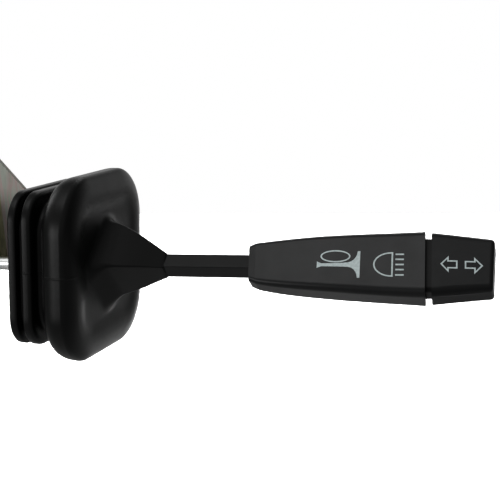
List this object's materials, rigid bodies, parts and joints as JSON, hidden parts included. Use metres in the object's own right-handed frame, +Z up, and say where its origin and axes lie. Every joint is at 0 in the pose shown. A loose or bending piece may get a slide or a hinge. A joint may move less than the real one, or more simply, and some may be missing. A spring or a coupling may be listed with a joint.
{
  "type": "combination stalk switch",
  "caption": "Steering-column stalk switch: swings for turn signals and dip or flash, with an end horn push, a rubber gaiter and a bracketed contact housing.",
  "frame": {"origin": "centre of the bracket's four bolt holes, on its mounting face, in line with the turn pivot", "axes": "+X out along the stalk, +Z up, -Y towards the driver"},
  "size_m": [0.2567, 0.064, 0.074],
  "materials": {
    "zinc_plate": "zinc plated and passivated pressed sheet",
    "housing_plastic": "moulded glass-filled nylon",
    "bright_steel": "zinc plated",
    "spring_steel": "oiled spring wire",
    "shaft_steel": "bright drawn tube",
    "bar_black": "black satin coat",
    "brass": "rolled strip",
    "nylon": "natural nylon",
    "phenolic": "phenolic board",
    "rubber": "moulded, satin",
    "insulation": "insulated lead",
    "grip_plastic": "fine spark-eroded grain",
    "guide_plastic": "smooth moulded",
    "button_plastic": "fine spark-eroded grain"
  },
  "bodies": {
    "bracket": {"mounting_bracket": "zinc_plate", "housing_base": "housing_plastic", "housing_cover": "housing_plastic", "housing_screws": "bright_steel", "turn_pivot_pin": "bright_steel", "turn_pivot_clip": "bright_steel", "turn_detent_cam": "nylon", "turn_contact_plate": "phenolic", "turn_fixed_contacts": "brass", "lower_terminal_blades": "brass", "upper_terminal_blades": "brass", "gaiter": "rubber"},
    "turn_yoke": {"turn_carrier": "nylon", "turn_detent_spring": "spring_steel", "dip_pivot_pin": "bright_steel", "dip_detent_plate": "bright_steel", "dip_contact_plate": "phenolic", "dip_fixed_contacts": "brass", "pawl_pin": "bright_steel", "pawl_springs": "spring_steel"},
    "turn_plunger": {"turn_detent_plunger": "bright_steel"},
    "turn_slider": {"turn_contact_slider": "nylon", "turn_contact_bridge": "brass"},
    "dip_contact_carrier": {"dip_slider": "nylon", "dip_contact_bridge": "brass"},
    "pawl": {"self_cancel_pawl": "nylon"},
    "stalk": {"arm_block": "nylon", "arm_grub_screw": "bright_steel", "dip_detent_spring": "spring_steel", "stalk_shaft": "shaft_steel", "stalk_bar": "bar_black", "horn_lead": "insulation", "grip": "grip_plastic", "button_guide": "guide_plastic", "horn_fixed_contact": "brass", "horn_return_spring": "spring_steel"},
    "dip_plunger": {"dip_detent_plunger": "bright_steel"},
    "horn_push_button": {"horn_button": "button_plastic", "horn_moving_contact": "brass"}
  },
  "joints": [
    {"name": "turn_swing", "type": "hinge", "parent": "bracket", "child": "turn_yoke", "pos_m": [0, -0.012, 0], "axis": [0, 1, 0], "range_deg": [-8, 8], "deforming": ["gaiter"]},
    {"name": "dip_swing", "type": "hinge", "parent": "turn_yoke", "child": "stalk", "pos_m": [0.022, -0.012, 0], "axis": [0, 0, 1], "range_deg": [-5, 5], "deforming": ["gaiter"]},
    {"name": "horn_push", "type": "slide", "parent": "stalk", "child": "horn_push_button", "axis": [-1, 0, 0], "range_m": [0, 0.0018], "stiffness_N_per_m": 900, "springref_m": -0.002, "deforming": ["horn_return_spring"]},
    {"name": "pawl_swing", "type": "hinge", "parent": "turn_yoke", "child": "pawl", "pos_m": [-0.0103, -0.012, 0], "axis": [0, 1, 0], "range_deg": [-12, 12], "stiffness_Nm_per_rad": 0.02, "deforming": ["pawl_springs"]},
    {"name": "turn_plunger_slide", "type": "slide", "parent": "turn_yoke", "child": "turn_plunger", "axis": [0, 0, 1], "range_m": [0, 0.0008], "stiffness_N_per_m": 1200, "springref_m": -0.001, "deforming": ["turn_detent_spring"]},
    {"name": "dip_plunger_slide", "type": "slide", "parent": "stalk", "child": "dip_plunger", "axis": [1, 0, 0], "range_m": [0, 0.0006], "stiffness_N_per_m": 1200, "springref_m": -0.001, "deforming": ["dip_detent_spring"]},
    {"name": "turn_contact_slide", "type": "slide", "parent": "bracket", "child": "turn_slider", "axis": [1, 0, 0], "range_m": [-0.0019, 0.0019]},
    {"name": "dip_contact_slide", "type": "slide", "parent": "turn_yoke", "child": "dip_contact_carrier", "axis": [0, 1, 0], "range_m": [-0.0006, 0.0006]}
  ],
  "couplings": [
    {"joint": "turn_contact_slide", "follows": "turn_swing", "m_per_rad": 0.0134},
    {"joint": "dip_contact_slide", "follows": "dip_swing", "m_per_rad": -0.0065}
  ]
}
